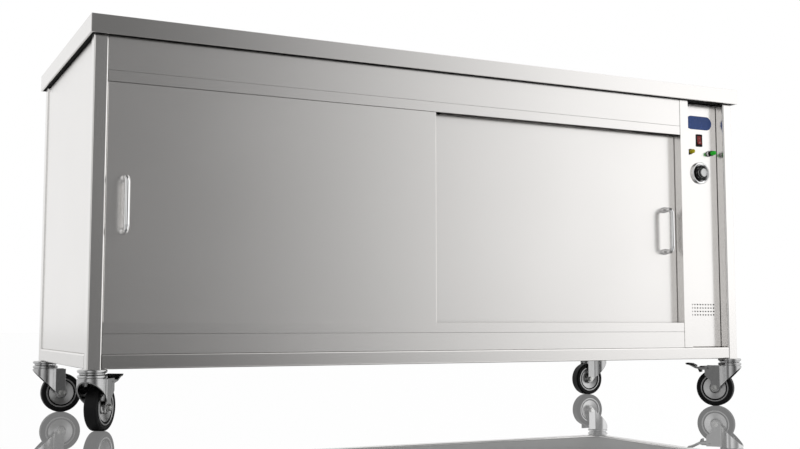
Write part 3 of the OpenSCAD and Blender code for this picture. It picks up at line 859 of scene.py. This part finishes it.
# %% [markdown]
# ## Forks
#
# A fork is one pressing: a round crown under the head, a curved hood in front, and two flat legs
# down to the axle. The wall is drawn in plan as a line that runs up one leg, round the hood and
# down the other. It is extruded upwards, thickened, and then trimmed with a side outline, which
# gives the sloping cut of the hood. The braked forks have an ear behind each leg for the pedal.

# %% Fork
HOOD_RADIUS, LEG_SHEET, LEG_END = 31.5 * MM, 2.5 * MM, 9 * MM
WALL_FOOT, WALL_HEIGHT = 34 * MM, 77.5 * MM
AXLE_END = (40 * MM, 50 * MM)
fork_plan = mm((68, 20.25), (25, 20.25), (23, 20.5))
fork_plan += arc((0, 0), HOOD_RADIUS - LEG_SHEET / 2, 46, 314, 40)
fork_plan += mm((23, -20.5), (25, -20.25), (68, -20.25))


def fork(name, ear):
    """A pressed fork; ear is how many millimetres the braked plate reaches behind the leg."""
    wall = chain(name, [(x, y, WALL_FOOT) for x, y in fork_plan])
    select_everything()
    extrude(0, 0, WALL_HEIGHT)
    close_skin()
    apply_modifier(wall, "SOLIDIFY", thickness=LEG_SHEET, offset=0, use_even_offset=True)
    outline = mm((-33, 109)) + arc(AXLE_END, LEG_END, 222, 360, 20)
    outline += mm((49, 70), (49 + 4 * ear / 3, 84), (49 + 4 * ear / 3, 114), (-33, 114))
    trim = plate("trim", outline, 90 * MM)
    if ear:
        round_edges(trim, 3 * MM, 4, angle=25)
    cut(wall, trim, "INTERSECT")
    crown_profile = mm((6.05, 108), (29.2, 108), (29.2, 112.6))
    crown_profile += arc((BEAD_CENTRE, 116.6 * MM), BEAD_RADIUS, -70, 90, 12)
    crown_profile += mm((25, 120.4), (6.05, 120.4), (6.05, 108))
    crown = lathe("crown", crown_profile)
    return smooth(join(name, round_edges(wall, 0.5 * MM), crown))


to_corners(fork("pressed_fork", 12), zinc_plate, "fork", BRAKED)
to_corners(fork("pressed_fork", 0), zinc_plate, "fork", CORNERS[2:])
print("forks: 2 braked, 2 plain")

# %% [markdown]
# ## Wheels
#
# The tyre is solid black rubber on a wheel centre of grey metal: a rim ring, a groove that throws
# off threads, a dished disc and a long boss. Tyre and centre are lathe profiles. A black ring of
# its own lies at the bottom of the groove as painted shade, so that the groove reads dark.

# %% Tyre
def on_axle(piece):
    """Turn a lathed piece onto the axle of the master castor."""
    return put(piece, (TRAIL, 0, WHEEL_RADIUS), ONTO_Y)


tread = mm((38.1, -15), (43.4, -15), (43.8, -15.35), (44.6, -15.35), (45, -15))
tread += arc((45.2 * MM, -10.2 * MM), 4.8 * MM, -85, -8, 9) + mm((50, -9))
tyre_profile = mirrored(tread)
to_corners(on_axle(lathe("rubber_tyre", tyre_profile, 128)), rubber, "tyre")
print("tyre profile:", len(tyre_profile), "points, spun in 128 steps")

# %% Wheel centre
hub_profile = mirrored(mm(
    (4.05, -18.3), (11.4, -18.3), (12.6, -17.2), (12.9, -11.5), (14.4, -10.2), (28.6, -13.2),
    (30.4, -13.6), (31, -13), (31, -9.6), (34.2, -9.6), (34.2, -14.4), (34.8, -15), (37.4, -15),
    (38, -14.6)))
to_corners(on_axle(lathe("wheel_centre", hub_profile, 96)), wheel_grey, "hub")

# Black rings at the bottom of the groove: painted shade that keeps the groove dark.
groove_shade_outline = mm((31.1, -11.8), (34.1, -11.8), (34.1, -9.7), (31.1, -9.7), (31.1, -11.8))
groove_shade_rings = [lathe("groove_shade_outline", [(r, turn * z) for r, z in groove_shade_outline], 96) for turn in (1, -1)]
to_corners(on_axle(join("groove_shade_ring", *groove_shade_rings)), painted_shade_black, "hub", stands_for=False)
print("hub profile:", len(hub_profile), "points")

# %% [markdown]
# ## Axle bolts
#
# An M8 bolt with a washer under its head and under its nut. The six-sided parts are cylinders of
# six sides whose corners are chamfered, and the bolt's end stands a little out of the nut.

# %% Bolt
def bolt_part(name, radius, low, high, edge, sides=48):
    """A cylinder with softened edges, all in millimetres."""
    piece = cylinder_piece(name, radius * MM, low * MM, high * MM, sides)
    return round_edges(piece, edge * MM)


bolt_parts = [bolt_part("axle", 3.98, -27, 27.6, 0.9, 32)]
for side in (-1, 1):
    near, middle, far = 21.5 * side, 22.7 * side, 26.6 * side
    bolt_parts.append(bolt_part("washer", 8.4, *sorted((near, middle)), 0.3))
    bolt_parts.append(bolt_part("hexagon", 7.2, *sorted((middle, far)), 0.7, 6))
to_corners(on_axle(smooth(join("axle_bolt", *bolt_parts))), bolt_zinc, "axle")
print("axle bolt parts:", len(bolt_parts))

# %% [markdown]
# ## Brake pedals
#
# Pressing the toe plate turns the lever on its pin and pushes a pad onto the tyre. The lever is a
# zinc pressing with a cheek on each side. Its toe plate, tread block and pad are black, so they
# are a second piece that rides with it.

# %% Brake lever
PEDAL_HALF, CHEEK_SHEET = 17.5 * MM, 1.6 * MM
PEDAL_PIN = (56 * MM, 0, 104 * MM)
barrel = bolt_part("pedal", 4.7, -17.5, 17.5, 0.5)
pin = bolt_part("pedal_pin", 3, -21.5, 21.5, 0.4, 32)
for part in (barrel, pin):
    put(part, PEDAL_PIN, ONTO_Y)
lever_outline = mm((56, 108.2), (56, 105.6), (90, 104.8), (105, 111.4), (117, 113.6), (117, 115.4),
                   (104.4, 113.6), (90, 107.6))
cheek_outline = mm((52, 101), (58, 99), (76, 100), (92, 103.6), (104, 110), (112, 113.6),
                   (90, 107.6), (54, 108.2))
sheets = [plate("lever", lever_outline, 2 * PEDAL_HALF)]
for side in (-1, 1):
    cheek = plate("cheek", cheek_outline, CHEEK_SHEET)
    sheets.append(put(cheek, (0, side * (PEDAL_HALF - CHEEK_SHEET / 2), 0)))
for part in sheets:
    round_edges(part, 0.4 * MM)
to_corners(smooth(join("brake_lever", barrel, pin, *sheets)), zinc_plate, "pedal", BRAKED)

toe_outline = mm((92, 108.8), (104, 114.2), (118, 115.8), (118.4, 118.4), (103, 117.2), (91, 111.6))
toe = plate("toe", toe_outline, 2 * PEDAL_HALF + 2 * MM)
block = plate("block", mm((64, 107.9), (82, 107.7), (80, 110), (66, 110.2)), 22 * MM)
pad = plate("pad", mm((77, 105), (77, 93), (81, 92.4), (87, 105)), 26 * MM)
black_parts = [round_edges(toe, MM, 3), round_edges(block, 0.8 * MM), round_edges(pad, 0.8 * MM)]
to_corners(smooth(join("brake_toe", *black_parts)), black_nylon, "pedal", BRAKED, stands_for=False)
print("pedals: 2, each with its black toe plate")

# %% [markdown]
# ## Control panel
#
# The panel is a tray like the others, set back between the stile and the right post. Its holes
# are cut with one boolean: the switch opening, two lamp holes, the dial's hole and 36 punched
# vent holes that let warm air out of the bay. The vent drill is modelled once and copied. A
# black box behind the vents is painted shade for the dark inside of the bay, so they read as dark
# dots.

# %% Control panel with its holes
panel_low, panel_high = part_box("control_panel")
PANEL_FACE = panel_low.y
dial_middle, switch_middle = middle_of("thermostat_bezel"), middle_of("switch_housing")
LAMPS = (("lamp_amber", lens_amber), ("lamp_green", lens_green))
VENT_HEIGHT, VENT_PITCH, VENT_RADIUS = 267 * MM, 9.5 * MM, 2.25 * MM
VENT_COLUMNS, VENT_ROWS = 9, 4


def out_of_panel(piece, middle):
    """Turn a lathed piece so that it points out of the panel at one place."""
    return put(piece, (middle.x, PANEL_FACE, middle.z), ONTO_Y)


def box_about(name, middle, half_width, half_height, front, back):
    """A box round a point of the panel, from front to back, all in millimetres."""
    return box_piece(
        name, (middle.x - half_width * MM, PANEL_FACE + front * MM, middle.z - half_height * MM),
        (middle.x + half_width * MM, PANEL_FACE + back * MM, middle.z + half_height * MM))


drills = [out_of_panel(cylinder_piece("drill", radius, -4 * MM, 4 * MM, 32), middle_of(node))
          for node, radius in (("thermostat_bezel", 5.1 * MM), ("lamp_amber", 6 * MM),
                               ("lamp_green", 6 * MM))]
drills.append(box_about("drill", switch_middle, 9.5, 15.5, -3, 3))
vent_middle = Vector((dial_middle.x, PANEL_FACE, VENT_HEIGHT))
first_vent = vent_middle - Vector((VENT_COLUMNS - 1, 0, VENT_ROWS - 1)) / 2 * VENT_PITCH
vent = out_of_panel(cylinder_piece("drill", VENT_RADIUS, -4 * MM, 4 * MM, 20), first_vent)
for column in range(VENT_COLUMNS):
    for row in range(VENT_ROWS):
        drills.append(put(copy_of(vent, "drill"), (column * VENT_PITCH, 0, row * VENT_PITCH)))
remove(vent)
control = tray("control_panel_sheet", panel_low, panel_high, (0, 1, 0))
cut(control, join("drills", *drills))
finish_piece(smooth(control), steel_upright, "control_panel")

# A black box behind the vents: painted shade for the dark inside of the bay.
vent_shade_box = round_edges(box_about("vent_shade_box", vent_middle, 52, 24, 1.5, 4.5), MM)
finish_piece(smooth(vent_shade_box), painted_shade_black, "control_panel", stands_for=False)
print("holes punched:", len(drills))

# %% [markdown]
# ## Badge
#
# A blank domed resin badge with full-round ends. The outline is two half circles and the straight
# stretches between them. Several small bevel steps on its rim give the soft dome that resin takes
# when it is poured.

# %% Blank badge
badge_size = size_of("badge")
half_length, end = badge_size.x / 2, badge_size.z / 2
badge_outline = arc((half_length - end, 0), end, -90, 90, 24)
badge_outline += arc((end - half_length, 0), end, 90, 270, 24)
badge = plate("badge_dome", badge_outline, badge_size.y)
put(badge, middle_of("badge"))
round_edges(badge, 0.55 * MM, 4, angle=60)
finish_piece(smooth(badge), badge_blue, "badge")
print("badge", round(2 * half_length / MM), "by", round(2 * end / MM), "mm")

# %% [markdown]
# ## Rocker switch
#
# The housing is one black moulding with a raised frame. Its front face is inset and pushed in, as
# the real one is hollow there. The red rocker is a shallow V that tilts on a pin, with its lower
# half out at rest. The marks for on and off are pad printed.

# %% Switch housing
switch_low, switch_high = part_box("switch_housing")
HOLLOW = 12 * MM
housing = box_piece("switch_frame", switch_low, (switch_high.x, PANEL_FACE, switch_high.z))
pick(housing, lambda a, b: abs(a.y - b.y) > MM, "EDGE")
bevel_picked(2 * MM, 4)
pick(housing, lambda centre, normal: normal.y < -0.99)
bpy.ops.mesh.inset(thickness=2.9 * MM, use_even_offset=True)
extrude(0, PANEL_FACE + HOLLOW - switch_low.y, 0)
let_go()
back_depth = (switch_high.y - PANEL_FACE) / MM
back = box_about("switch_body", switch_middle, 9.3, 15.3, 0, back_depth)
cut(back, box_about("pocket", switch_middle, 7.6, 13.6, -1, HOLLOW / MM))
housing = join("switch_frame", round_edges(housing, 0.5 * MM, 3), round_edges(back, 0.4 * MM))
finish_piece(smooth(housing), black_nylon, "switch_housing")
print("switch frame", [round(v / MM) for v in switch_high - switch_low], "mm")

# %% Rocker with its marks
TILT_DEGREES, MARK_LEAN, MARK_HEIGHT = 8, radians(6.6), 6.2 * MM
tilt = (-radians(TILT_DEGREES), 0, 0)
pivot = (switch_middle.x, PANEL_FACE + 2 * MM, switch_middle.z)
outline = mm((5, -9), (5, 9), (-5.5, 12), (-4.1, 6), (-3.4, 0), (-4.1, -6), (-5.5, -12))
rocker = put(plate("rocker_cap", outline, 14.4 * MM), turn=(0, 0, pi / 2))
trunnion = put(cylinder_piece("trunnion", 1.5 * MM, -8.7 * MM, 8.7 * MM, 24), turn=(0, pi / 2, 0))
rocker = join("rocker_cap", round_edges(rocker, 0.6 * MM, 3), round_edges(trunnion, 0.2 * MM))
finish_piece(put(smooth(rocker), pivot, tilt), rocker_red, "switch_rocker")

ring_mark = lathe("off_mark", mm((1.5, 0), (2.1, 0), (2.1, 0.35), (1.5, 0.35), (1.5, 0)), 32)
put(ring_mark, (0, -4.25 * MM, -MARK_HEIGHT), (pi / 2 - MARK_LEAN, 0, 0))
bar_mark = plate("on_mark", mm((-0.3, -2), (0.3, -2), (0.3, 2), (-0.3, 2)), 0.5 * MM)
put(bar_mark, (0, -4.2 * MM, MARK_HEIGHT), (-MARK_LEAN, 0, 0))
marks = put(join("rocker_marks", ring_mark, bar_mark), pivot, tilt)
finish_piece(marks, print_white, "switch_rocker", stands_for=False)
print("rocker tilted", TILT_DEGREES, "degrees")

# %% [markdown]
# ## Indicator lamps
#
# Each lamp is a long domed lens in a black collar, on a bright seat ring whose body goes through
# the panel. All three are lathe profiles. The lens has a shallow step where it sits in the collar.
# The green one is on, so its material also gives off a little light.

# %% Lamps
lamp_reach = PANEL_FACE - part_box("lamp_amber")[0].y
LENS_RADIUS = 6 * MM
seat_profile = mm((0, -26), (5.4, -26), (5.9, -25.5), (5.9, 0), (8.4, 0), (9, 0.7), (9, 2.2),
                  (8.6, 2.6), (7.9, 2.6), (7.9, 1.4), (0, 1.4))
collar_profile = mm((6.6, 1.4), (7.8, 1.4), (7.8, 9.4), (7.3, 10), (6.6, 10), (6.6, 1.4))
lens_profile = mm((0, 1.5), (6.4, 1.5), (6.4, 4.4), (6, 4.8))
lens_profile.append((LENS_RADIUS, lamp_reach - LENS_RADIUS))
lens_profile += arc((0, lamp_reach - LENS_RADIUS), LENS_RADIUS, 8, 90, 10)
for node, tint in LAMPS:
    for name, profile, material in (("_lens", lens_profile, tint),
                                    ("_seat", seat_profile, polished_steel),
                                    ("_collar", collar_profile, black_nylon)):
        piece = out_of_panel(lathe(node + name, profile), middle_of(node))
        finish_piece(piece, material, node, stands_for=name == "_lens")
print("lamps reach", round(lamp_reach / MM, 1), "mm out of the panel")

# %% [markdown]
# ## Thermostat dial
#
# Three turned parts sit in each other: a polished convex ring, a black dial with its scale
# printed on it, and a silver grip with fine knurling. The knurl is cut by pushing in every second
# strip of faces round the grip. The figures are text turned into mesh, a plain scale in degrees.

# %% Ring, dial and grip
DIAL_STEPS = 96
ring_profile = mm((5.3, 0), (30.6, 0), (31, 0.5), (31, 3))
ring_profile += arc((27.6 * MM, 3 * MM), 3.3 * MM, 10, 120, 10)
ring_profile += mm((23.4, 4.4), (22.5, 2), (5.3, 2), (5.3, 0))
ring = out_of_panel(lathe("dial_ring", ring_profile, DIAL_STEPS), dial_middle)
finish_piece(ring, polished_steel, "thermostat_bezel")

skirt_profile = mm((0, -22), (2.6, -22), (3, -21.6), (3, 4.2), (21.2, 4.2), (21.6, 4.8),
                   (21.4, 6.2), (20.6, 7.6), (19.8, 8), (0, 8))
skirt = out_of_panel(lathe("dial_skirt", skirt_profile, DIAL_STEPS), dial_middle)
finish_piece(skirt, black_nylon, "thermostat_knob")

grip_profile = mm((0, 7.9), (12.6, 7.9), (12.6, 8.6), (12.1, 9), (11.9, 16.6), (11.3, 17.4),
                  (10.2, 17.8), (9.4, 17.6), (0, 17.5))
grip = lathe("dial_grip", grip_profile, DIAL_STEPS)


def is_knurled(centre, normal):
    """True for every second strip of faces round the grip's wall."""
    strip = round(atan2(centre.y, centre.x) * DIAL_STEPS / (2 * pi) - 0.5)
    return 9 * MM < centre.z < 16.6 * MM and strip % 2 == 0


pick(grip, is_knurled)
bpy.ops.mesh.inset(thickness=0.12 * MM, depth=-0.35 * MM, use_individual=True)
let_go()
grip = out_of_panel(smooth(grip), dial_middle)
finish_piece(grip, grip_silver, "thermostat_knob", stands_for=False)
print("knurl strips:", DIAL_STEPS // 2)

# %% Printed scale
TEXT_HEIGHT, TEXT_RADIUS, TICK_RADIUS, TICK_WIDTH = 3 * MM, 17.9 * MM, 13.4 * MM, 0.35 * MM
LONG_TICK, SHORT_TICK, PRINT_DEPTH = 2.4 * MM, 1.4 * MM, 0.16 * MM


def turned_by(mark, degrees):
    """Turn a printed mark clockwise from the top of the dial."""
    return put(mark, turn=(0, radians(degrees), 0))


def tick(length, degrees):
    """A printed line on the dial."""
    half, outer = TICK_WIDTH / 2, TICK_RADIUS + length
    line = [(-half, TICK_RADIUS), (half, TICK_RADIUS), (half, outer), (-half, outer)]
    return turned_by(plate("tick", line, PRINT_DEPTH), degrees)


def figure(text, degrees):
    """A printed figure that stands upright along its radius."""
    let_go()
    bpy.ops.object.text_add(location=ORIGIN)
    piece = bpy.context.object
    piece.data.body = text
    piece.data.size = TEXT_HEIGHT
    piece.data.align_x, piece.data.align_y = "CENTER", "CENTER"
    piece.data.extrude = PRINT_DEPTH / 2
    bpy.ops.object.convert(target="MESH")
    return turned_by(put(piece, (0, 0, TEXT_RADIUS), ONTO_Y), degrees)


SCALE_TURN, SCALE_STEPS, STEPS_PER_FIGURE, DEGREES_PER_FIGURE = 270, 18, 3, 20
scale = []
for step in range(SCALE_STEPS + 1):
    length = SHORT_TICK if step % STEPS_PER_FIGURE else LONG_TICK
    scale.append(tick(length, -step * SCALE_TURN / SCALE_STEPS))
figures = SCALE_STEPS // STEPS_PER_FIGURE
for step in range(figures + 1):
    scale.append(figure(str(step * DEGREES_PER_FIGURE), -step * SCALE_TURN / figures))
scale_print = join("dial_scale", *scale)
put(scale_print, (dial_middle.x, PANEL_FACE - 8.05 * MM, dial_middle.z))
finish_piece(scale_print, print_white, "thermostat_knob", stands_for=False)

index = plate("dial_index", mm((-1, 23.6), (1, 23.6), (0, 21.9)), 0.2 * MM)
put(index, (dial_middle.x, PANEL_FACE - 4.6 * MM, dial_middle.z))
finish_piece(index, black_nylon, "thermostat_bezel", stands_for=False)
print("scale:", SCALE_STEPS + 1, "ticks and", figures + 1, "figures")

# %% [markdown]
# ## Behind the panels
#
# The thermostat's body, the cable gland and the heater are seen only from behind or with the
# doors open. Their shapes are right as they are, so they get their finish, and softened edges
# where the edges are sharp.

# %% Inner parts
refined("thermostat_body", zinc_plate, 0.4 * MM)
refined("cable_gland", black_nylon, 0.5 * MM)
refined("heating_element", heated_steel)
print("inner parts: 3")

# %% [markdown]
# ## Floor
#
# The cupboard stands on a plain white studio floor with a high gloss, as a sheet of white acrylic
# has. A Glossy shader gives the mirror and a little white light of its own is mixed in, so that
# the reflection is paler than the thing. That light is for the eye only: the steel above still
# sees a plain mirror. The gloss drifts very slightly, as a wiped floor's does.

# %% Floor
let_go()
bpy.ops.mesh.primitive_plane_add(size=60, location=(0, 0, 0))
floor = bpy.context.object
floor.name = "studio_floor"
floor_paint, tree, place = new_material("white_gloss_acrylic_floor")
WIPE_MM, WHITE_SHARE, ROUGH_CLEAN, ROUGH_WIPED = 400, 0.18, 0.004, 0.012
WHITE = (1, 1, 1, 1)
rough = add(tree, "ShaderNodeMapRange", {
    "Value": noise(tree, place, WIPE_MM, 2.0), "To Min": ROUGH_CLEAN, "To Max": ROUGH_WIPED})
mirror = add(tree, "ShaderNodeBsdfGlossy", {"Color": WHITE, "Roughness": rough})
seen = add(tree, "ShaderNodeLightPath").outputs["Is Camera Ray"]
white = add(tree, "ShaderNodeEmission", {"Color": WHITE, "Strength": seen})
surface(tree, add(tree, "ShaderNodeMixShader", {0: WHITE_SHARE, 1: mirror, 2: white}))
floor.data.materials.append(floor_paint)
print("floor laid, white share", WHITE_SHARE, "and the rest mirror")

# %% [markdown]
# ## Soft light all round
#
# Steel shows what stands round it, so the light is a round tent and not a lamp. The brightness
# of its wall changes with the direction it stands in, measured from the front: a dim gap in
# front, brighter and brighter to the right, and two grey cards that give the castors their dark
# bands. A direction is an angle from X and Y, and a colour ramp turns it into brightness. The
# tent is open at the top, which gives round bars a dark line along them. The camera itself sees
# plain white behind the cupboard.

# %% Light tent
TENT = [(-180, 0.98), (-100, 0.98), (-78, 0.85), (-69, 0.3), (-54, 0.3), (-47, 0.95),
        (-40, 1.05), (-25, 0.8), (-12, 0.42), (0, 0.22), (8, 0.165), (12, 0.17), (16.5, 0.255),
        (21, 0.415), (26.2, 0.66), (31.3, 0.93), (36.4, 1.23), (41, 1.42), (60, 1.36),
        (100, 1.25), (107, 1.1), (113, 0.5), (127, 0.5), (133, 1.0), (180, 0.98)]
world = bpy.data.worlds.new("light_tent")
bpy.context.scene.world = world
world.use_nodes = True
tree = world.node_tree
tree.nodes.clear()
way = add(tree, "ShaderNodeTexCoord").outputs["Generated"]
split = add(tree, "ShaderNodeSeparateXYZ", {0: way})
front = add(tree, "ShaderNodeMath", {0: split.outputs[1], 1: -1.0}, operation="MULTIPLY")
turned = add(tree, "ShaderNodeMath", {0: split.outputs[0], 1: front}, operation="ARCTAN2")
along = add(tree, "ShaderNodeMapRange", {"Value": turned, "From Min": -pi, "From Max": pi})
ramp = add(tree, "ShaderNodeValToRGB", {0: along})
elements = ramp.color_ramp.elements
while len(elements) < len(TENT):
    elements.new(0.5)
for element, (angle, brightness) in zip(elements, TENT):
    element.position = (angle + 180) / 360
    element.color = (brightness, brightness, brightness, 1)
WALL_TOP, OPENING_START, OPENING_SHARE = 0.8, 0.93, 0.2
opening = add(tree, "ShaderNodeMapRange", {
    "Value": split.outputs[2], "From Min": WALL_TOP, "From Max": OPENING_START, "To Min": 1.0,
    "To Max": OPENING_SHARE})
wall = add(tree, "ShaderNodeBackground", {0: ramp, 1: opening})
backdrop = add(tree, "ShaderNodeBackground", {0: WHITE, 1: 1.0})
seen = add(tree, "ShaderNodeLightPath").outputs["Is Camera Ray"]
tent = add(tree, "ShaderNodeMixShader", {0: seen, 1: wall, 2: backdrop})
add(tree, "ShaderNodeOutputWorld", {0: tent})
bpy.context.scene.view_settings.view_transform = "Standard"
print("tent with", len(TENT), "brightness stops")

# %% [markdown]
# ## The end

# %% Leave nothing selected
let_go()
